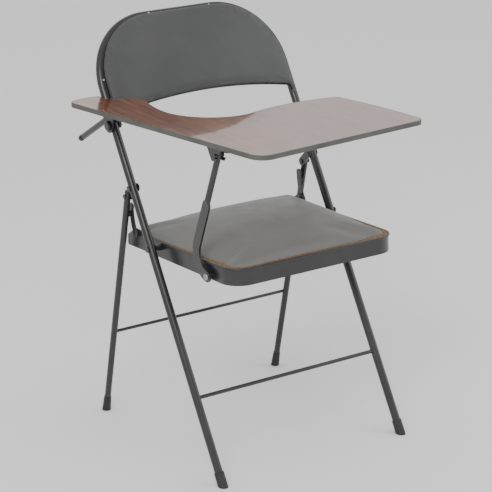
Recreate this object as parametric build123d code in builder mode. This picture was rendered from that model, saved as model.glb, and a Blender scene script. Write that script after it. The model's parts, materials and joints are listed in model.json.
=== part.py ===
from build123d import *
import os
from math import cos, hypot, radians, sin, tan

# A steel folding chair with a padded seat and back and a writing tablet on the sitter's right.
# Millimetres. +Z is up, the sitter faces -Y, and the sitter's right hand is on the -X side.
# Everything is laid out from the chair's middle plane (x = 0) and the floor (z = 0).

os.makedirs("parts", exist_ok=True)

# The row's origin is on the floor, under the middle of the whole object's box.
origin_x = -33.7527
origin_y = 1.1179

# ---- driving dimensions -------------------------------------------------------------------
# front tube: one inverted U that is both front legs, both uprights and the back's loop
tube_r = 8.0
tube_wall = 1.2
half_track = 210.0
front_foot_y = -198.6
back_lean = 31.2
loop_top = 918.0
loop_bend_r = 132.0
tube_start = 8.0

# rear legs
rear_r = 6.35
rear_half_track = 208.5
rear_foot_y = 229.0
rear_lean = 11.9
rear_start = 6.0
rear_top_z = 487.0

# cross bars
front_bar_r = 3.75
front_bar_z = 146.0
rear_bar_r = 3.25
rear_bar_z = 180.0
rear_bar_back = 2.5

# the fold's pivots, as (y, z)
seat_pivot = (42.0, 397.0)
leg_pivot = (119.2, 404.3)
leg_top_pivot = (128.0, 479.1)
link_pivot = (106.2, 501.0)

# seat
seat_half = 187.0
seat_front = -200.0
seat_rear = 140.0
seat_front_r = 40.0
seat_rear_r = 25.0
rim_z = 415.0
skirt_z = 382.0
pan_t = 1.2
seat_board_t = 6.0
cushion_top = 448.0
seat_slope = 2.9
seat_slope_y = -110.0

# back
back_shell_t = 1.2
back_pad_t = 9.0
back_half = 209.0
back_top = 921.0
back_arch_mid = 749.0
back_arch_end = 729.0

# writing tablet
board_top = 660.0
board_t = 9.0
laminate_t = 0.8
band_t = 1.6
tablet_pivot_z = 610.0
bracket_t = 3.0
bracket_x = -222.0

# support arm
arm_x = -195.8
arm_r = 5.75
arm_flat_t = 4.0
arm_flat_w = 21.0
arm_foot = (-128.0, 390.0)
arm_head = (-167.0, 630.0)

# running clearance on every turning pin
run = 0.05


# ---- helpers ------------------------------------------------------------------------------
def side(x):
    """Plane across the chair at x, drawn in (y, z)."""
    return Plane(origin=(x, 0, 0), x_dir=(0, 1, 0), z_dir=(1, 0, 0))


def leg_plane(x, s=0.0):
    """Plane square to a front tube, s along it from the floor."""
    lean = radians(back_lean)
    return Plane(origin=(x, front_foot_y, 0), x_dir=(1, 0, 0), z_dir=(0, sin(lean), cos(lean))).offset(s)


def rear_plane(x, s=0.0):
    """Plane square to a rear leg, s along it from the floor."""
    lean = radians(rear_lean)
    return Plane(origin=(x, rear_foot_y, 0), x_dir=(1, 0, 0), z_dir=(0, -sin(lean), cos(lean))).offset(s)


def loop_plane(n=0.0):
    """Plane of the front tube, drawn in (x, distance up the tube), n towards the sitter."""
    lean = radians(back_lean)
    return Plane(origin=(0, front_foot_y, 0), x_dir=(1, 0, 0), z_dir=(0, -cos(lean), sin(lean))).offset(n)


def tube_y(z):
    """The front tube's centre line at height z."""
    return front_foot_y + z * tan(radians(back_lean))


def rear_y(z):
    """The rear leg's centre line at height z."""
    return rear_foot_y - z * tan(radians(rear_lean))


def seat_plane(z):
    """Plane along the seat, which falls to the rear; z is its height where it crosses the level seat."""
    slope = radians(seat_slope)
    crossing = Plane(origin=(0, seat_slope_y, rim_z), x_dir=(1, 0, 0), z_dir=(0, sin(slope), cos(slope)))
    corner = crossing.from_local_coords((0, -seat_slope_y, z - rim_z))
    return Plane(origin=corner, x_dir=(1, 0, 0), z_dir=crossing.z_dir)


def save(piece, name):
    """Label one finished piece and write it about the row's origin."""
    solid = piece.part.moved(Location((-origin_x, -origin_y, 0)))
    solid.label = name
    export_step(solid, f"parts/{name}.step")


def x_rod(centres, radius, x0, x1, mode=Mode.ADD):
    """Round bars along X at each (y, z) centre, from x0 to x1."""
    with BuildSketch(side(x0)) as rods:
        with Locations(*centres):
            Circle(radius)
    extrude(rods.sketch, amount=x1 - x0, mode=mode)


# ---- frame: inverted-U tube ------------------------------------------------------------------
tablet_pivot = (tube_y(tablet_pivot_z), tablet_pivot_z)
pin_r = 3.0
bolt_r = 4.0
back_screw_r = 2.0
back_screw_spots = [(-half_track, 800.0), (half_track, 800.0), (-70.0, loop_top), (70.0, loop_top)]

with BuildPart() as front_frame_tube:
    with BuildLine(loop_plane()) as loop_path:
        FilletPolyline(
            (-half_track, tube_start),
            (-half_track, loop_top),
            (half_track, loop_top),
            (half_track, tube_start),
            radius=loop_bend_r,
        )
    with BuildSketch(leg_plane(-half_track, tube_start)):
        Circle(tube_r)
        Circle(tube_r - tube_wall, mode=Mode.SUBTRACT)
    sweep(path=loop_path.line)
    x_rod([seat_pivot, link_pivot], pin_r, -half_track - 20, half_track + 20, mode=Mode.SUBTRACT)
    x_rod([tablet_pivot], bolt_r, -half_track - 20, -half_track + 20, mode=Mode.SUBTRACT)
    with BuildSketch(loop_plane(-20)):
        with Locations(*back_screw_spots):
            Circle(back_screw_r)
    extrude(amount=40, mode=Mode.SUBTRACT)
save(front_frame_tube, "front_frame_tube")

with BuildPart() as front_crossbar:
    x_rod([(tube_y(front_bar_z), front_bar_z)], front_bar_r, -half_track + 5, half_track - 5)
    for x in (-half_track, half_track):
        with BuildSketch(leg_plane(x)):
            Circle(tube_r)
        extrude(amount=300, mode=Mode.SUBTRACT)
save(front_crossbar, "front_crossbar")

front_cap_r = 9.5
front_cap_len = 28.0
for name, x in (("front_foot_cap_right", -half_track), ("front_foot_cap_left", half_track)):
    with BuildPart() as cap:
        with BuildSketch(leg_plane(x, -10)):
            Circle(front_cap_r)
        extrude(amount=front_cap_len + 10)
        fillet(cap.faces().sort_by(Axis.Z)[-1].edges(), radius=1.2)
        with BuildSketch(leg_plane(x, tube_start)):
            Circle(tube_r + 0.02)
        extrude(amount=front_cap_len, mode=Mode.SUBTRACT)
        split(bisect_by=Plane.XY, keep=Keep.TOP)
    save(cap, name)

# ---- frame: back shell, pad and screws ----------------------------------------------------------


def back_outline(inset):
    """The back's face: an arch below, a wing down each upright, and the loop's corners above."""
    half = back_half - inset
    top = back_top - inset
    wing_in = half_track - tube_r - 1.0
    wing_low = back_arch_end - 14.0 + inset
    low = back_arch_end + inset
    mid = back_arch_mid + inset
    corner = loop_bend_r - inset
    with BuildSketch() as face:
        with BuildLine():
            ThreePointArc((-wing_in, low), (0, mid), (wing_in, low))
            Polyline((wing_in, low), (wing_in, wing_low), (half, wing_low), (half, top - corner))
            RadiusArc((half, top - corner), (half - corner, top), -corner)
            Line((half - corner, top), (-half + corner, top))
            RadiusArc((-half + corner, top), (-half, top - corner), -corner)
            Polyline((-half, top - corner), (-half, wing_low), (-wing_in, wing_low), (-wing_in, low))
        make_face()
        wing_corners = face.vertices().group_by(Axis.Y)
        fillet(wing_corners[1], radius=9.0)
        fillet(face.vertices().group_by(Axis.Y)[0], radius=2.0)
    return face.sketch


back_front = tube_r + 0.05
with BuildPart() as back_shell:
    with BuildSketch(loop_plane(back_front)):
        add(back_outline(0.0))
    extrude(amount=back_shell_t)
    with BuildSketch(loop_plane(back_front)):
        with Locations(*back_screw_spots):
            Circle(back_screw_r)
    extrude(amount=back_shell_t, mode=Mode.SUBTRACT)
save(back_shell, "back_shell")

pad_back = back_front + back_shell_t + 0.05
with BuildPart() as back_cushion:
    with BuildSketch(loop_plane(pad_back)):
        add(back_outline(2.0))
    extrude(amount=back_pad_t)
    with BuildSketch(loop_plane(pad_back)):
        with Locations(*back_screw_spots):
            Circle(back_screw_r + 0.6)
    extrude(amount=3.6, mode=Mode.SUBTRACT)
save(back_cushion, "back_cushion")

with BuildPart() as back_screws:
    with BuildSketch(loop_plane(-tube_r - 1.8)):
        with Locations(*back_screw_spots):
            Circle(3.6)
    extrude(amount=1.8)
    with BuildSketch(loop_plane(-tube_r)):
        with Locations(*back_screw_spots):
            Circle(back_screw_r - 0.03)
    extrude(amount=2 * tube_r + back_shell_t + 3.2)
save(back_screws, "back_screws")

# ---- frame: rivets, spacers and the tablet's hinge bolt ----------------------------------------
flange_out = seat_half
link_t = 2.5
link_in = half_track - tube_r - 0.3 - link_t
link_out = link_in + link_t

with BuildPart() as seat_pivot_rivets:
    for s in (-1, 1):
        x_rod([seat_pivot], pin_r - 0.03, *sorted((s * (flange_out - 2.4), s * (half_track + tube_r))))
        x_rod([seat_pivot], 5.5, *sorted((s * (half_track + tube_r), s * (half_track + tube_r + 2.2))))
save(seat_pivot_rivets, "seat_pivot_rivets")

with BuildPart() as seat_pivot_spacers:
    for s in (-1, 1):
        x_rod([seat_pivot], 6.0, *sorted((s * (flange_out + 0.3), s * (half_track - tube_r))))
        x_rod([seat_pivot], pin_r, *sorted((s * (flange_out - 1), s * half_track)), mode=Mode.SUBTRACT)
save(seat_pivot_spacers, "seat_pivot_spacers")

with BuildPart() as link_pivot_rivets:
    for s in (-1, 1):
        x_rod([link_pivot], pin_r - 0.03, *sorted((s * (link_in - 0.3), s * (half_track + tube_r))))
        x_rod([link_pivot], 5.5, *sorted((s * (half_track + tube_r), s * (half_track + tube_r + 2.2))))
        x_rod([link_pivot], 4.5, *sorted((s * (link_in - 1.5), s * (link_in - 0.3))))
save(link_pivot_rivets, "link_pivot_rivets")

bolt_head_r = 9.5
with BuildPart() as tablet_hinge_bolt:
    x_rod([tablet_pivot], bolt_head_r, bracket_x - 5.0, bracket_x - 0.3)
    fillet(tablet_hinge_bolt.faces().sort_by(Axis.X)[0].edges(), radius=2.5)
    x_rod([tablet_pivot], bolt_r - run, bracket_x - 0.3, -half_track + tube_r + 7.0)
save(tablet_hinge_bolt, "tablet_hinge_bolt")

with BuildPart() as tablet_hinge_nut:
    with BuildSketch(side(-half_track + tube_r)):
        with Locations(tablet_pivot):
            RegularPolygon(radius=7.5, side_count=6)
            Circle(bolt_r - run, mode=Mode.SUBTRACT)
    extrude(amount=5.5)
save(tablet_hinge_nut, "tablet_hinge_nut")

with BuildPart() as tablet_hinge_washer:
    with BuildSketch(side(-half_track - tube_r - 0.7)):
        with Locations(tablet_pivot):
            Circle(8.5)
            Circle(bolt_r, mode=Mode.SUBTRACT)
    extrude(amount=0.7)
save(tablet_hinge_washer, "tablet_hinge_washer")

# ---- frame: the peg behind the near upright ----------------------------------------------------
peg_r = 6.0
peg_s = 731.0
peg_reach = 142.0
peg_base = loop_plane()
with BuildPart() as rear_peg:
    with BuildSketch(Plane(origin=peg_base.from_local_coords((-half_track, peg_s, 0)),
                           x_dir=(1, 0, 0), z_dir=-peg_base.z_dir)):
        Circle(peg_r)
        Circle(peg_r - 1.2, mode=Mode.SUBTRACT)
    extrude(amount=peg_reach - 16.0)
    with BuildSketch(leg_plane(-half_track, peg_s - 40)):
        Circle(tube_r)
    extrude(amount=80, mode=Mode.SUBTRACT)
save(rear_peg, "rear_peg")

peg_axis = Axis(peg_base.from_local_coords((-half_track, peg_s, 0)), -peg_base.z_dir)
with BuildPart() as rear_peg_plug:
    with BuildSketch(Plane(origin=peg_axis.position, x_dir=(1, 0, 0), z_dir=peg_axis.direction).offset(peg_reach - 28)):
        Circle(peg_r - 1.25)
    extrude(amount=12)
    with BuildSketch(Plane(origin=peg_axis.position, x_dir=(1, 0, 0), z_dir=peg_axis.direction).offset(peg_reach - 16)):
        Circle(peg_r - 1.6)
    extrude(amount=4)
    with BuildSketch(Plane(origin=peg_axis.position, x_dir=(1, 0, 0), z_dir=peg_axis.direction).offset(peg_reach - 12)):
        Circle(peg_r)
    extrude(amount=12)
    tip = rear_peg_plug.faces().sort_by(peg_axis)[-1]
    fillet(tip.edges(), radius=4.0)
save(rear_peg_plug, "rear_peg_plug")

# ---- rear legs --------------------------------------------------------------------------------
leg_len = rear_top_z / cos(radians(rear_lean))
for name, s in (("rear_leg_right", -1), ("rear_leg_left", 1)):
    with BuildPart() as rear_leg:
        with BuildSketch(rear_plane(s * rear_half_track, rear_start)):
            Circle(rear_r)
            Circle(rear_r - 1.2, mode=Mode.SUBTRACT)
        extrude(amount=leg_len - rear_start)
        x_rod([leg_top_pivot], 2.5, *sorted((s * (rear_half_track - 15), s * (rear_half_track + 15))),
              mode=Mode.SUBTRACT)
    save(rear_leg, name)

with BuildPart() as rear_leg_plugs:
    for s in (-1, 1):
        with BuildSketch(rear_plane(s * rear_half_track, leg_len)):
            Circle(rear_r)
        extrude(amount=2.0)
save(rear_leg_plugs, "rear_leg_plugs")

with BuildPart() as leg_top_rivets:
    for s in (-1, 1):
        leg_out = rear_half_track + rear_r
        x_rod([leg_top_pivot], 2.47, *sorted((s * (rear_half_track - rear_r + 0.4), s * leg_out)))
        x_rod([leg_top_pivot], 4.5, *sorted((s * leg_out, s * (leg_out + 1.8))))
save(leg_top_rivets, "leg_top_rivets")

# each strap runs inside its link, from a weld on the leg down to the seat's rear pivot
strap_t = 2.5
strap_out = link_in - 0.3
strap_in = strap_out - strap_t
strap_weld = (rear_y(440.0), 440.0)
strap_top = (rear_y(455.0), 455.0)
strap_r = 7.5
weld_r = 5.5
for name, s in (("leg_strap_right", -1), ("leg_strap_left", 1)):
    with BuildPart() as leg_strap:
        with BuildSketch(side(s * strap_in if s > 0 else -strap_out)):
            with BuildLine():
                bow = ThreePointArc(strap_top, (128.5, 427.0), leg_pivot)
            trace(bow, line_width=2 * strap_r - 2)
            with Locations(strap_top, leg_pivot):
                Circle(strap_r)
            with Locations(leg_pivot):
                Circle(2.5 + run, mode=Mode.SUBTRACT)
        extrude(amount=strap_t)
        x_rod([strap_weld], weld_r, *sorted((s * strap_out, s * (rear_half_track - 2))))
        with BuildSketch(rear_plane(s * rear_half_track)):
            Circle(rear_r)
        extrude(amount=leg_len, mode=Mode.SUBTRACT)
    save(leg_strap, name)

with BuildPart() as rear_crossbar:
    x_rod([(rear_y(rear_bar_z) + rear_bar_back, rear_bar_z)], rear_bar_r, -rear_half_track + 4, rear_half_track - 4)
    for x in (-rear_half_track, rear_half_track):
        with BuildSketch(rear_plane(x)):
            Circle(rear_r)
        extrude(amount=300, mode=Mode.SUBTRACT)
save(rear_crossbar, "rear_crossbar")

for name, x in (("rear_foot_cap_right", -rear_half_track), ("rear_foot_cap_left", rear_half_track)):
    with BuildPart() as cap:
        with BuildSketch(rear_plane(x, -6)):
            Circle(8.9)
        with BuildSketch(rear_plane(x, 32)):
            Circle(7.3)
        loft()
        fillet(cap.faces().sort_by(Axis.Z)[-1].edges(), radius=0.6)
        with BuildSketch(rear_plane(x, rear_start)):
            Circle(rear_r + 0.02)
        extrude(amount=40, mode=Mode.SUBTRACT)
        split(bisect_by=Plane.XY, keep=Keep.TOP)
    save(cap, name)

# ---- links between the uprights and the rear legs' tops ----------------------------------------
link_r = 8.0
for name, s in (("link_right", -1), ("link_left", 1)):
    with BuildPart() as link:
        with BuildSketch(side(s * link_in if s > 0 else -link_out)):
            with BuildLine():
                mid_line = Line(link_pivot, leg_top_pivot)
            trace(mid_line, line_width=2 * link_r)
            with Locations(link_pivot, leg_top_pivot):
                Circle(link_r)
            with Locations(link_pivot):
                Circle(pin_r + run - 0.03, mode=Mode.SUBTRACT)
        extrude(amount=link_t)
    save(link, name)

with BuildPart() as link_end_studs:
    for s in (-1, 1):
        x_rod([leg_top_pivot], 5.0, *sorted((s * (link_in - 2.0), s * link_in)))
save(link_end_studs, "link_end_studs")

# ---- seat --------------------------------------------------------------------------------------
bead_r = 2.0


def seat_outline(inset):
    """The seat's plan, inset by a distance, with rounder corners in front."""
    with BuildSketch(Plane.XY) as plan:
        half = seat_half - inset
        with BuildLine():
            Polyline(
                (-half, seat_front + inset), (half, seat_front + inset),
                (half, seat_rear - inset), (-half, seat_rear - inset), close=True,
            )
        make_face()
        fillet(plan.vertices().group_by(Axis.Y)[0], radius=seat_front_r - inset)
        fillet(plan.vertices().group_by(Axis.Y)[-1], radius=seat_rear_r - inset)
    return plan.sketch


ledge_z = rim_z - seat_board_t - pan_t
seat_screw_spots = [(sx * (seat_half - 13.0), y) for sx in (-1, 1) for y in (-140.0, 85.0)]
support_rivet_r = 2.5
rim_plane = seat_plane(rim_z)
seat_up = Axis(rim_plane.origin, rim_plane.z_dir)
with BuildPart() as seat_pan:
    with BuildSketch(seat_plane(skirt_z)):
        add(seat_outline(0.0))
        add(seat_outline(pan_t), mode=Mode.SUBTRACT)
    extrude(amount=rim_z - skirt_z)
    with BuildSketch(seat_plane(ledge_z)):
        add(seat_outline(0.5))
        add(seat_outline(20.0), mode=Mode.SUBTRACT)
        with Locations(*seat_screw_spots):
            Circle(2.0, mode=Mode.SUBTRACT)
    extrude(amount=pan_t)
    with BuildSketch(seat_plane(skirt_z)):
        add(seat_outline(0.5))
        add(seat_outline(7.0), mode=Mode.SUBTRACT)
    extrude(amount=pan_t)
    with BuildSketch(seat_plane(rim_z - 2 * bead_r)):
        add(seat_outline(-bead_r))
        add(seat_outline(0.2), mode=Mode.SUBTRACT)
    extrude(amount=2 * bead_r)
    fillet(seat_pan.faces().sort_by(seat_up)[-1].outer_wire().edges(), radius=bead_r - 0.1)
    bead_under = seat_pan.faces().filter_by_position(seat_up, -2 * bead_r - 0.01, -2 * bead_r + 0.01)
    fillet(bead_under[0].outer_wire().edges(), radius=bead_r - 0.2)
    x_rod([seat_pivot], pin_r + run - 0.03, -seat_half - 5, seat_half + 5, mode=Mode.SUBTRACT)
    x_rod([arm_foot], support_rivet_r, -seat_half - 5, -seat_half + 15, mode=Mode.SUBTRACT)
save(seat_pan, "seat_pan")

with BuildPart() as seat_board:
    with BuildSketch(seat_plane(rim_z - seat_board_t)):
        add(seat_outline(pan_t + 1.0))
    extrude(amount=seat_board_t)
    with BuildSketch(seat_plane(rim_z - seat_board_t)):
        with Locations(*seat_screw_spots):
            Circle(2.0)
    extrude(amount=4.5, mode=Mode.SUBTRACT)
save(seat_board, "seat_board")

with BuildPart() as seat_screws:
    with BuildSketch(seat_plane(ledge_z - 1.8)):
        with Locations(*seat_screw_spots):
            Circle(3.6)
    extrude(amount=1.8)
    with BuildSketch(seat_plane(ledge_z)):
        with Locations(*seat_screw_spots):
            Circle(1.97)
    extrude(amount=pan_t + 4.0)
save(seat_screws, "seat_screws")

with BuildPart() as seat_cushion:
    with BuildSketch(seat_plane(rim_z + 0.1)):
        add(seat_outline(3.0))
    extrude(amount=cushion_top - rim_z - 0.1)
    chamfer(seat_cushion.faces().sort_by(seat_up)[-1].edges(), length=9.0)
save(seat_cushion, "seat_cushion")

# a plate stands off each side of the pan and carries the rear leg's strap
plate_out = flange_out + 6.0
plate_t = 2.5
plate_y = (86.0, 156.0)
plate_studs = [(96.0, 388.0), (121.0, 386.0)]
for name, s in (("seat_side_plate_right", -1), ("seat_side_plate_left", 1)):
    with BuildPart() as side_plate:
        with BuildSketch(side(s * (plate_out - plate_t) if s > 0 else -plate_out)):
            with BuildLine():
                Polyline(
                    (plate_y[0], 396.0), (leg_pivot[0] - 6.0, leg_pivot[1] + 8.0),
                    (leg_pivot[0] + 8.0, leg_pivot[1] + 8.0), (plate_y[1], 392.0), (plate_y[1], 371.5),
                    (plate_y[0], 376.0), close=True,
                )
            make_face()
            fillet(vertices(), radius=4.0)
            with Locations(leg_pivot):
                Circle(2.5, mode=Mode.SUBTRACT)
        extrude(amount=plate_t)
        x_rod(plate_studs, 5.0, *sorted((s * flange_out, s * (plate_out - plate_t))))
    save(side_plate, name)

with BuildPart() as seat_link_spacers:
    for s in (-1, 1):
        x_rod([leg_pivot], 5.5, *sorted((s * plate_out, s * (strap_in - 0.3))))
        x_rod([leg_pivot], 2.5, *sorted((s * (plate_out - 1), s * strap_out)), mode=Mode.SUBTRACT)
save(seat_link_spacers, "seat_link_spacers")

with BuildPart() as seat_link_rivets:
    for s in (-1, 1):
        x_rod([leg_pivot], 2.47, *sorted((s * (plate_out - plate_t), s * (strap_out - 0.2))))
        x_rod([leg_pivot], 5.0, *sorted((s * (plate_out - plate_t - 1.2), s * (plate_out - plate_t))))
save(seat_link_rivets, "seat_link_rivets")

arm_in = arm_x + arm_flat_t / 2
arm_out = arm_x - arm_flat_t / 2
with BuildPart() as support_spacer:
    x_rod([arm_foot], 6.0, arm_in + 0.3, -flange_out)
    x_rod([arm_foot], support_rivet_r, arm_in, -flange_out + 1, mode=Mode.SUBTRACT)
save(support_spacer, "support_spacer")

with BuildPart() as support_rivet:
    x_rod([arm_foot], 6.5, arm_out - 2.8, arm_out - 0.3)
    fillet(support_rivet.faces().sort_by(Axis.X)[0].edges(), radius=1.6)
    x_rod([arm_foot], support_rivet_r - 0.03, arm_out - 0.3, -flange_out + pan_t)
    x_rod([arm_foot], 5.0, -flange_out + pan_t, -flange_out + pan_t + 2.0)
save(support_rivet, "support_rivet")

# ---- support arm -------------------------------------------------------------------------------
arm_turn = (-96.0, 446.0)
arm_step_z = 529.0
arm_dir = (arm_head[0] - arm_turn[0], arm_head[1] - arm_turn[1])
arm_straight = hypot(*arm_dir)
arm_unit = (arm_dir[0] / arm_straight, arm_dir[1] / arm_straight)
step_at = (arm_step_z - arm_turn[1]) / arm_unit[1]
step_blend = 8.0


def arm_plane(t):
    """Plane square to the arm's straight part, t along it from the turn."""
    y = arm_turn[0] + arm_unit[0] * t
    z = arm_turn[1] + arm_unit[1] * t
    return Plane(origin=(arm_x, y, z), x_dir=(1, 0, 0), z_dir=(0, arm_unit[0], arm_unit[1]))


with BuildPart() as support_arm:
    with BuildSketch(side(arm_out)):
        with BuildLine():
            step_point = (arm_turn[0] + arm_unit[0] * step_at, arm_turn[1] + arm_unit[1] * step_at)
            shank = Line(step_point, arm_turn)
            hook = TangentArc(arm_turn, arm_foot, tangent=shank % 1)
        trace(line_width=arm_flat_w)
        with Locations(arm_foot):
            Circle(arm_flat_w / 2)
            Circle(support_rivet_r + 0.02, mode=Mode.SUBTRACT)
    extrude(amount=arm_flat_t)
    with BuildSketch(arm_plane(step_at)):
        Rectangle(arm_flat_t, arm_flat_w)
    with BuildSketch(arm_plane(step_at + step_blend)):
        Ellipse(arm_r, arm_r + 0.01)
    loft()
    with BuildSketch(arm_plane(step_at + step_blend)):
        Ellipse(arm_r, arm_r + 0.01)
    extrude(amount=arm_straight - step_at - step_blend + arm_r)
    chamfer(support_arm.faces().sort_by(Axis.Z)[-1].edges(), length=1.5)
    x_rod([arm_head], 4.0, arm_x - 10, arm_x + 10, mode=Mode.SUBTRACT)
save(support_arm, "support_arm")

clip_gap = arm_r + 1.25
clip_t = 3.0
with BuildPart() as support_pin:
    x_rod([arm_head], 3.98, arm_x - clip_gap - clip_t, arm_x + clip_gap + clip_t)
save(support_pin, "support_pin")

# ---- writing tablet ----------------------------------------------------------------------------
board_low = board_top - board_t


def tablet_outline():
    """The board's plan: a broad leaf across the lap and an arm back past the near upright."""
    with BuildSketch() as plan:
        with BuildLine():
            Polyline((-289.0, 198.0), (-199.0, -303.0), (187.0, -272.0))
            ThreePointArc((187.0, -272.0), (173.0, -150.0), (152.0, -52.0))
            ThreePointArc((152.0, -52.0), (62.0, -40.5), (-52.0, -57.0))
            ThreePointArc((-52.0, -57.0), (-144.0, -28.0), (-177.0, 39.0))
            ThreePointArc((-177.0, 39.0), (-175.0, 85.0), (-164.0, 128.0))
            ThreePointArc((-164.0, 128.0), (-171.0, 156.0), (-199.0, 169.0))
            Polyline((-199.0, 169.0), (-207.5, 169.5), (-207.5, 181.0), (-220.0, 181.0), (-220.0, 206.0))
            ThreePointArc((-220.0, 206.0), (-253.0, 210.5), (-289.0, 198.0))
        make_face()
        for spot, radius in (
            ((-199.0, -303.0), 30.0), ((187.0, -272.0), 16.0), ((152.0, -52.0), 12.0), ((-52.0, -57.0), 40.0),
            ((-289.0, 198.0), 12.0), ((-220.0, 206.0), 3.0), ((-207.5, 181.0), 3.0),
            ((-220.0, 181.0), 3.0), ((-207.5, 169.5), 3.0), ((-164.0, 128.0), 20.0),
        ):
            corner = plan.vertices().sort_by_distance((*spot, 0.0))[0]
            fillet(corner, radius=radius)
    return plan.sketch


bracket_y = (150.0, 204.0)
flange_w = 30.0
bracket_screws = [(bracket_x - 16.0, bracket_y[0] + 12.0), (bracket_x - 16.0, bracket_y[1] - 12.0)]
clip_y = (arm_head[0] - 22.0, arm_head[0] + 22.0)
clip_screws = [(arm_x, clip_y[0] + 7.0), (arm_x, clip_y[1] - 7.0)]
tablet_screw_spots = bracket_screws + clip_screws
tablet_screw_r = 2.0

with BuildPart() as tablet_edge_band:
    with BuildSketch(Plane.XY.offset(board_low)):
        add(tablet_outline())
    extrude(amount=board_t)
    offset(amount=-band_t, openings=tablet_edge_band.faces().filter_by(Axis.Z))
save(tablet_edge_band, "tablet_edge_band")

with BuildPart() as tablet_board:
    with BuildSketch(Plane.XY.offset(board_low)):
        add(tablet_outline())
    extrude(amount=board_t - laminate_t)
    add(tablet_edge_band.part, mode=Mode.SUBTRACT)
    with BuildSketch(Plane.XY.offset(board_low)):
        with Locations(*tablet_screw_spots):
            Circle(tablet_screw_r)
    extrude(amount=6.5, mode=Mode.SUBTRACT)
save(tablet_board, "tablet_board")

with BuildPart() as tablet_laminate:
    with BuildSketch(Plane.XY.offset(board_top - laminate_t)):
        add(tablet_outline())
    extrude(amount=laminate_t)
    add(tablet_edge_band.part, mode=Mode.SUBTRACT)
save(tablet_laminate, "tablet_laminate")

ear_r = 14.0
with BuildPart() as tablet_bracket:
    with BuildSketch(side(bracket_x)):
        with BuildLine():
            lean_in = Line((bracket_y[0], board_low), (tablet_pivot[0] - ear_r, tablet_pivot[1]))
            Line(lean_in @ 1, tablet_pivot)
            Line(tablet_pivot, (tablet_pivot[0] + ear_r, tablet_pivot[1]))
            Line((tablet_pivot[0] + ear_r, tablet_pivot[1]), (bracket_y[1], board_low))
            Line((bracket_y[1], board_low), (bracket_y[0], board_low))
        make_face()
        with Locations(tablet_pivot):
            Circle(ear_r)
            Circle(bolt_r, mode=Mode.SUBTRACT)
    extrude(amount=bracket_t)
    with BuildSketch(Plane.XY.offset(board_low - bracket_t)):
        with Locations((bracket_x - flange_w / 2 + 0.5, sum(bracket_y) / 2)):
            Rectangle(flange_w + 1.0, bracket_y[1] - bracket_y[0])
    extrude(amount=bracket_t)
    with BuildSketch(Plane.XY.offset(board_low - bracket_t)):
        with Locations(*bracket_screws):
            Circle(tablet_screw_r)
    extrude(amount=bracket_t, mode=Mode.SUBTRACT)
save(tablet_bracket, "tablet_bracket")

# the clip is two ears under the board; its slot runs forward and a little up from the arm's head
slot_r = 4.4
slot_rise = 6.5
clip_low = arm_head[1] - 10.0
slot_end = (arm_head[0] - 60.0, arm_head[1] + 60.0 * tan(radians(slot_rise)))
with BuildPart() as support_clip:
    for ear_x in (arm_x - clip_gap - clip_t, arm_x + clip_gap):
        with BuildSketch(side(ear_x)):
            with BuildLine():
                Polyline(
                    (clip_y[0], board_low), (clip_y[0], board_low - 8.0), (arm_head[0] - 5.0, clip_low),
                    (arm_head[0] + 8.0, clip_low), (clip_y[1], board_low - 10.0), (clip_y[1], board_low),
                    close=True,
                )
            make_face()
            with BuildLine():
                slot_line = Line(arm_head, slot_end)
            trace(slot_line, line_width=2 * slot_r, mode=Mode.SUBTRACT)
            with Locations(arm_head):
                Circle(slot_r, mode=Mode.SUBTRACT)
        extrude(amount=clip_t)
    with BuildSketch(Plane.XY.offset(board_low - clip_t)):
        with Locations((arm_x, sum(clip_y) / 2)):
            Rectangle(2 * clip_gap + 2, clip_y[1] - clip_y[0])
        with Locations(*clip_screws):
            Circle(tablet_screw_r, mode=Mode.SUBTRACT)
    extrude(amount=clip_t)
save(support_clip, "support_clip")

with BuildPart() as tablet_screws:
    with BuildSketch(Plane.XY.offset(board_low - bracket_t - 1.8)):
        with Locations(*tablet_screw_spots):
            Circle(3.6)
    extrude(amount=1.8)
    with BuildSketch(Plane.XY.offset(board_low - bracket_t)):
        with Locations(*tablet_screw_spots):
            Circle(tablet_screw_r - 0.03)
    extrude(amount=bracket_t + 6.0)
save(tablet_screws, "tablet_screws")
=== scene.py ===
import json
import math

import bpy
import numpy as np
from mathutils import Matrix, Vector


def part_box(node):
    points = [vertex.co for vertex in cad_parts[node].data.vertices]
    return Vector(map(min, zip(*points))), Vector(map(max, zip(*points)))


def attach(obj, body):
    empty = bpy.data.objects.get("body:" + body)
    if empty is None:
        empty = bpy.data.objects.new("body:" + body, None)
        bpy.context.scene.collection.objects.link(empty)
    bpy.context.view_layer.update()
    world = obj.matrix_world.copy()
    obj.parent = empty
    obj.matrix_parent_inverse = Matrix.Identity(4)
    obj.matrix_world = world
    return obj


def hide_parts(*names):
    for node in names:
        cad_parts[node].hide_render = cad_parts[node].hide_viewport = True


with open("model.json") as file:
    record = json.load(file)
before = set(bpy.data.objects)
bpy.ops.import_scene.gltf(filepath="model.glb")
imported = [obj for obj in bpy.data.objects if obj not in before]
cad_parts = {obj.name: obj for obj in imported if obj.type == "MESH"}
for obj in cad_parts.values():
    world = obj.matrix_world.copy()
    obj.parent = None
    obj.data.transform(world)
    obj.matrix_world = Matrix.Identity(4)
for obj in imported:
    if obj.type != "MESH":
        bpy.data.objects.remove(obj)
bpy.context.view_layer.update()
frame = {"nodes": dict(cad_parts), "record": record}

# ---- sizes, metres, in the part's frame ----------------------------------------------------------
NODES = frame["nodes"]
SLOT_OF = {row["node"]: row["material_slot"] for row in frame["record"]["subparts"]}
TUBE_LO = Vector(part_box("front_frame_tube")[0])
FRONT_LEAN = math.radians(31.2)
TUBE_FRONT = Vector((0, -math.cos(FRONT_LEAN), math.sin(FRONT_LEAN)))


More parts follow.
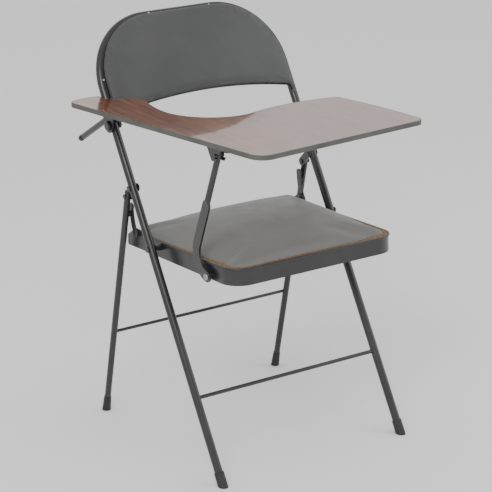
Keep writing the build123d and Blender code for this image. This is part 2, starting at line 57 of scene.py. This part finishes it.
# ---- camera --------------------------------------------------------------------------------------
def make_camera():
    """The photograph's view: three-quarter from above the sitter's right, with a long lens."""
    look_down, turn = 0.3338, 0.5994
    data = bpy.data.cameras.new("camera")
    data.lens = 144.4
    data.sensor_width = 36.0
    camera = bpy.data.objects.new("camera", data)
    camera.location = (-2.0102, -2.9591, 1.621)
    camera.rotation_euler = (math.pi / 2 - look_down, 0, -turn)
    bpy.context.scene.collection.objects.link(camera)
    bpy.context.scene.camera = camera


# ---- material tools ------------------------------------------------------------------------------
class Paint:
    """A node tree with short calls to add and join its nodes."""

    def __init__(self, name):
        self.material = bpy.data.materials.new(name)
        self.material.use_nodes = True
        self.tree = self.material.node_tree
        self.shader = self.tree.nodes["Principled BSDF"]
        self.coords = self.add("ShaderNodeTexCoord").outputs["Object"]

    def add(self, kind, **values):
        node = self.tree.nodes.new(kind)
        for name, value in values.items():
            setattr(node, name, value)
        return node

    def join(self, out, into):
        self.tree.links.new(out, into)
        return into

    def stretched(self, scale):
        """Object coordinates scaled along each axis."""
        node = self.add("ShaderNodeMapping")
        node.inputs["Scale"].default_value = scale
        self.join(self.coords, node.inputs["Vector"])
        return node.outputs["Vector"]

    def noise(self, scale, detail=3.0, rough=0.5, vector=None, twist=0.0):
        node = self.add("ShaderNodeTexNoise")
        node.inputs["Scale"].default_value = scale
        node.inputs["Detail"].default_value = detail
        node.inputs["Roughness"].default_value = rough
        node.inputs["Distortion"].default_value = twist
        self.join(vector or self.coords, node.inputs["Vector"])
        return node.outputs["Fac"]

    def cells(self, scale, feature="F1", vector=None):
        node = self.add("ShaderNodeTexVoronoi", feature=feature)
        node.inputs["Scale"].default_value = scale
        self.join(vector or self.coords, node.inputs["Vector"])
        return node.outputs["Distance"]

    def ramp(self, fac, stops):
        """Colours or greys by position; stops is a list of (position, colour)."""
        node = self.add("ShaderNodeValToRGB")
        points = node.color_ramp.elements
        while len(points) < len(stops):
            points.new(0.5)
        for point, (place, colour) in zip(points, stops):
            point.position = place
            point.color = (*colour, 1) if isinstance(colour, tuple) else (colour, colour, colour, 1)
        self.join(fac, node.inputs["Fac"])
        return node.outputs["Color"]

    def mix(self, kind, fac, a, b):
        node = self.add("ShaderNodeMix", data_type="RGBA", blend_type=kind)
        for value, socket in ((fac, node.inputs["Factor"]), (a, node.inputs[6]), (b, node.inputs[7])):
            if isinstance(value, bpy.types.NodeSocket):
                self.join(value, socket)
            elif isinstance(value, tuple):
                socket.default_value = (*value, 1)
            else:
                socket.default_value = value
        return node.outputs[2]

    def math(self, kind, a, b=0.0):
        node = self.add("ShaderNodeMath", operation=kind)
        for value, socket in ((a, node.inputs[0]), (b, node.inputs[1])):
            if isinstance(value, bpy.types.NodeSocket):
                self.join(value, socket)
            else:
                socket.default_value = value
        return node.outputs[0]

    def bump(self, height, strength, distance):
        node = self.add("ShaderNodeBump")
        node.inputs["Strength"].default_value = strength
        node.inputs["Distance"].default_value = distance
        self.join(height, node.inputs["Height"])
        self.join(node.outputs["Normal"], self.shader.inputs["Normal"])

    def set(self, **values):
        """Plain values on the shader's own sockets."""
        for name, value in values.items():
            socket = self.shader.inputs[name.replace("_", " ")]
            socket.default_value = (*value, 1) if isinstance(value, tuple) else value

    def colour(self, out):
        self.join(out, self.shader.inputs["Base Color"])

    def roughness(self, fac, low, high):
        self.join(self.ramp(fac, [(0.3, low), (0.7, high)]), self.shader.inputs["Roughness"])


def paint_frame():
    """Near-black powder coat: fine orange peel, a little uneven in gloss."""
    p = Paint("frame_paint")
    cloud = p.noise(14, 4)
    peel = p.noise(1500, 2)
    p.colour(p.ramp(cloud, [(0.3, (0.012, 0.012, 0.013)), (0.7, (0.021, 0.021, 0.022))]))
    p.roughness(p.noise(60, 4), 0.26, 0.38)
    p.set(Coat_Weight=0.25, Coat_Roughness=0.2, IOR=1.5)
    p.bump(peel, 0.12, 0.0004)
    return p.material


def paint_hardware():
    """Dull zinc plate with fine turning marks."""
    p = Paint("bright_hardware")
    rings = p.noise(900, 3, vector=p.stretched((0.12, 1, 1)))
    p.colour(p.ramp(p.noise(220, 4), [(0.3, (0.30, 0.30, 0.30)), (0.7, (0.52, 0.52, 0.50))]))
    p.roughness(rings, 0.28, 0.46)
    p.set(Metallic=1.0)
    p.bump(rings, 0.15, 0.0003)
    return p.material


def paint_foot():
    """Satin black moulded plastic with a fine spark-eroded grain."""
    p = Paint("foot_plastic")
    p.colour(p.ramp(p.noise(40, 4), [(0.3, (0.010, 0.010, 0.010)), (0.7, (0.020, 0.020, 0.021))]))
    p.roughness(p.noise(120, 3), 0.42, 0.58)
    p.bump(p.noise(2200, 2), 0.18, 0.0004)
    return p.material


def paint_vinyl(name, low, high, grain, rough_low, rough_high):
    """Leather-grained vinyl: small cells with soft creases, painted shade darkening the creases, and a
    faint cloudiness in its colour.
    """
    p = Paint(name)
    creases = p.cells(grain, feature="DISTANCE_TO_EDGE")
    fine = p.noise(grain * 1.6, 3)
    height = p.math("ADD", p.math("MULTIPLY", p.ramp(creases, [(0.0, 0.0), (0.16, 1.0)]), 0.7),
                    p.math("MULTIPLY", fine, 0.3))
    body = p.ramp(p.noise(9, 5), [(0.3, low), (0.7, high)])
    # painted shade: the colour darkens to 0.8 towards each grain cell's edge, standing in for shade in the
    # creases
    painted_crease_shade = p.ramp(creases, [(0.0, 0.80), (0.12, 1.0)])
    p.colour(p.mix("MULTIPLY", 0.7, body, painted_crease_shade))
    p.roughness(p.noise(35, 4), rough_low, rough_high)
    p.set(Sheen_Weight=0.08, Sheen_Roughness=0.5, IOR=1.45)
    p.bump(height, 0.22, 0.0005)
    return p.material


def paint_board():
    """Raw chipboard: pressed flakes in mixed browns."""
    p = Paint("board_core")
    flakes = p.cells(260, vector=p.stretched((1, 1, 0.5)))
    p.colour(p.ramp(flakes, [
        (0.1, (0.30, 0.19, 0.10)), (0.5, (0.20, 0.12, 0.06)), (0.9, (0.10, 0.06, 0.03)),
    ]))
    p.roughness(p.noise(300, 3), 0.7, 0.9)
    p.bump(flakes, 0.5, 0.0008)
    return p.material


def paint_laminate():
    """Glossy red-brown wood print: fore-aft figure with thin dark pores under a clear coat."""
    p = Paint("wood_laminate")
    warp = p.noise(3.2, 4, 0.6, vector=p.stretched((1, 0.35, 1)), twist=0.8)
    along = p.stretched((1, 0.045, 1))
    broad = p.noise(46, 5, 0.6, vector=along, twist=1.4)
    thin = p.noise(420, 3, 0.7, vector=along)
    figure = p.math("ADD", p.math("MULTIPLY", warp, 0.45), p.math("MULTIPLY", broad, 0.65))
    body = p.ramp(figure, [
        (0.30, (0.060, 0.014, 0.008)), (0.46, (0.135, 0.036, 0.018)),
        (0.56, (0.200, 0.066, 0.030)), (0.70, (0.290, 0.120, 0.048)),
    ])
    pores = p.ramp(thin, [(0.36, 0.38), (0.52, 1.0)])
    p.colour(p.mix("MULTIPLY", 0.75, body, pores))
    p.roughness(p.noise(25, 4), 0.16, 0.26)
    p.set(IOR=1.62, Coat_Weight=1.0, Coat_Roughness=0.035, Coat_IOR=1.62)
    p.bump(thin, 0.03, 0.0002)
    return p.material


def paint_band():
    """Grey-black moulded edging, satin, with faint lengthwise drag marks."""
    p = Paint("edge_band")
    drag = p.noise(700, 3, vector=p.stretched((0.2, 0.2, 4)))
    p.colour(p.ramp(p.noise(30, 4), [(0.3, (0.060, 0.062, 0.055)), (0.7, (0.090, 0.092, 0.082))]))
    p.roughness(drag, 0.32, 0.46)
    p.bump(drag, 0.10, 0.0003)
    return p.material


def make_materials():
    return {
        "frame_paint": paint_frame(),
        "bright_hardware": paint_hardware(),
        "foot_plastic": paint_foot(),
        "back_vinyl": paint_vinyl(
            "back_vinyl", (0.050, 0.051, 0.052), (0.066, 0.067, 0.067), 900, 0.44, 0.56,
        ),
        "seat_vinyl": paint_vinyl(
            "seat_vinyl", (0.150, 0.151, 0.145), (0.190, 0.191, 0.183), 800, 0.40, 0.54,
        ),
        "board_core": paint_board(),
        "wood_laminate": paint_laminate(),
        "edge_band": paint_band(),
    }


def paint_nodes(materials):
    """Every CAD node takes the procedural material of its own slot."""
    for name, node in NODES.items():
        node.data.materials.clear()
        node.data.materials.append(materials[SLOT_OF[name]])


# ---- soft pieces ---------------------------------------------------------------------------------
def points_of(mesh):
    flat = np.empty(len(mesh.vertices) * 3)
    mesh.vertices.foreach_get("co", flat)
    return flat.reshape(-1, 3)


def put_points(mesh, points):
    mesh.vertices.foreach_set("co", points.ravel())
    mesh.update()


def with_modifiers(obj):
    """A plain mesh of what the object looks like now, its modifiers worked out."""
    seen = obj.evaluated_get(bpy.context.evaluated_depsgraph_get())
    return bpy.data.meshes.new_from_object(seen)


def soft_copy(node, name, voxel):
    """A remeshed copy of a CAD node, ready to be shaped."""
    piece = bpy.data.objects.new(name, NODES[node].data.copy())
    bpy.context.scene.collection.objects.link(piece)
    remesh = piece.modifiers.new("voxels", "REMESH")
    remesh.mode = "VOXEL"
    remesh.voxel_size = voxel
    remesh.adaptivity = 0
    bpy.context.view_layer.update()
    mesh = with_modifiers(piece)
    piece.modifiers.clear()
    piece.data = mesh
    return piece


def relax(mesh, rounds, keep=None, amount=0.5):
    """Averages each point with its neighbours, which rounds the edges; keep weighs how far each may go."""
    count = len(mesh.vertices)
    pairs = np.empty(len(mesh.edges) * 2, dtype=np.int64)
    mesh.edges.foreach_get("vertices", pairs)
    pairs = pairs.reshape(-1, 2)
    degree = np.bincount(pairs.ravel(), minlength=count)[:, None]
    points = points_of(mesh)
    free = np.ones((count, 1)) if keep is None else keep[:, None]
    for _ in range(rounds):
        total = np.zeros_like(points)
        np.add.at(total, pairs[:, 0], points[pairs[:, 1]])
        np.add.at(total, pairs[:, 1], points[pairs[:, 0]])
        points += free * amount * (total / np.maximum(degree, 1) - points)
    put_points(mesh, points)


def inflate(piece, held, pressure, cap, axis_cap=None):
    """Swells a closed piece by cloth simulation; held points stay, and no point moves further than cap."""
    frames = 20
    scene = bpy.context.scene
    start = points_of(piece.data).copy()
    pins = piece.vertex_groups.new(name="held")
    pins.add([int(i) for i in np.nonzero(held)[0]], 1.0, "REPLACE")
    cloth = piece.modifiers.new("cloth", "CLOTH")
    settings = cloth.settings
    settings.quality = 6
    settings.mass = 0.3
    settings.tension_stiffness = 12
    settings.compression_stiffness = 12
    settings.bending_stiffness = 1.5
    settings.vertex_group_mass = "held"
    settings.use_pressure = True
    settings.uniform_pressure_force = pressure
    settings.effector_weights.gravity = 0
    cloth.collision_settings.use_collision = False
    cloth.collision_settings.use_self_collision = False
    cloth.point_cache.frame_start = 1
    cloth.point_cache.frame_end = frames
    for number in range(1, frames + 1):
        scene.frame_set(number)
    swollen = with_modifiers(piece)
    moved = points_of(swollen) - start
    scene.frame_set(1)
    piece.modifiers.clear()
    far = np.linalg.norm(moved, axis=1, keepdims=True)
    moved *= np.tanh(far / cap) * cap / np.maximum(far, 1e-9)
    if axis_cap is not None:
        moved = np.clip(moved, -np.array(axis_cap), np.array(axis_cap))
    put_points(piece.data, start + moved)


def finish_soft(piece, material, body, node):
    """Subdivides a shaped piece, gives it its material, hangs it on its body and hides the CAD node it
    replaces.
    """
    divide = piece.modifiers.new("smooth", "SUBSURF")
    divide.levels = divide.render_levels = 1
    bpy.context.view_layer.update()
    mesh = with_modifiers(piece)
    piece.modifiers.clear()
    piece.vertex_groups.clear()
    piece.data = mesh
    mesh.polygons.foreach_set("use_smooth", [True] * len(mesh.polygons))
    mesh.materials.clear()
    mesh.materials.append(material)
    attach(piece, body)
    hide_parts(node)


def inward(points, lo, hi, front_radius, rear_radius):
    """Each point's distance inside a rounded rectangle, its front and rear corners of different radii."""
    middle, half = (lo + hi) / 2, (hi - lo) / 2
    radius = np.where(points[:, 1] < middle[1], front_radius, rear_radius)
    over_x = np.abs(points[:, 0] - middle[0]) - half[0] + radius
    over_y = np.abs(points[:, 1] - middle[1]) - half[1] + radius
    outside = np.hypot(np.maximum(over_x, 0), np.maximum(over_y, 0))
    return radius - outside - np.minimum(np.maximum(over_x, over_y), 0)


def make_seat_cushion(materials):
    """Foam pad in grained vinyl: a low dome whose edges roll down. It is shaped along the level z axis."""
    edge_height, roll_height, roll_width = 0.006, 0.017, 0.030
    chamfer = 0.009
    front_radius, rear_radius = 0.037, 0.022
    held_depth = 0.0035
    lo, hi = (np.array(c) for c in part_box("seat_cushion"))
    piece = soft_copy("seat_cushion", "seat_cushion_cover", 0.005)
    points = points_of(piece.data)
    thick = hi[2] - lo[2]
    across = (points - (lo + hi) / 2) / ((hi - lo) / 2)
    inside = np.clip(inward(points, lo, hi, front_radius, rear_radius), 0, None)
    rolled = np.sqrt(1 - (1 - np.minimum(inside / roll_width, 1)) ** 2)
    crown = np.clip(1 - across[:, 0] ** 2, 0, 1) * np.clip(1 - across[:, 1] ** 2, 0, 1)
    height = edge_height + roll_height * rolled + (thick - edge_height - roll_height) * crown
    plain = thick - np.maximum(chamfer - inside, 0)
    points[:, 2] = lo[2] + (points[:, 2] - lo[2]) * height / plain
    put_points(piece.data, points)
    held = points[:, 2] < lo[2] + held_depth
    relax(piece.data, 4, keep=np.where(held, 0.0, 1.0))
    inflate(piece, held, pressure=4.0, cap=0.006, axis_cap=(0.002, 0.002, 0.005))
    relax(piece.data, 2, keep=np.where(held, 0.0, 1.0))
    finish_soft(piece, materials["seat_vinyl"], "seat", "seat_cushion")


def back_depth(points):
    """How far each point stands towards the sitter from the front tube's plane."""
    normal = np.array(TUBE_FRONT)
    foot = np.array((0, TUBE_LO.y, TUBE_LO.z))
    return (points - foot) @ normal


def make_back_cushion(materials):
    """Thin padded cover over the back's shell, its edges rolled over."""
    skin_depth = 0.002
    piece = soft_copy("back_cushion", "back_cushion_cover", 0.003)
    rear = back_depth(points_of(piece.data))
    skin = rear < rear.min() + skin_depth
    relax(piece.data, 5, keep=np.where(skin, 0.15, 1.0))
    inflate(piece, skin, pressure=4.0, cap=0.004)
    relax(piece.data, 2, keep=np.where(skin, 0.0, 1.0))
    finish_soft(piece, materials["back_vinyl"], "frame", "back_cushion")


# ---- the room ------------------------------------------------------------------------------------
def add_light(name, place, aim, size, power):
    data = bpy.data.lights.new(name, "AREA")
    data.shape = "RECTANGLE"
    data.size, data.size_y = size
    data.energy = power
    light = bpy.data.objects.new(name, data)
    light.location = place
    light.rotation_euler = (Vector(aim) - Vector(place)).to_track_quat("-Z", "Y").to_euler()
    bpy.context.scene.collection.objects.link(light)


def make_room():
    """A pale floor under an even white world, with a soft key light and a weaker fill."""
    floor_drop = 0.0005
    world = bpy.data.worlds.new("room")
    bpy.context.scene.world = world
    world.use_nodes = True
    world.node_tree.nodes["Background"].inputs["Color"].default_value = (1, 1, 1, 1)
    world.node_tree.nodes["Background"].inputs["Strength"].default_value = 0.95
    bpy.ops.mesh.primitive_plane_add(size=60, location=(0, 0, -floor_drop))
    floor = bpy.context.object
    floor.name = "floor"
    p = Paint("floor_white")
    p.set(Base_Color=(0.93, 0.93, 0.93), Roughness=0.9)
    floor.data.materials.append(p.material)
    add_light("key", (-1.8, -1.6, 2.6), (0, 0, 0.5), (1.4, 1.4), 42)
    add_light("fill", (2.2, -1.2, 1.6), (0, 0, 0.5), (1.2, 1.8), 14)


make_camera()
materials = make_materials()
paint_nodes(materials)
make_seat_cushion(materials)
make_back_cushion(materials)
make_room()
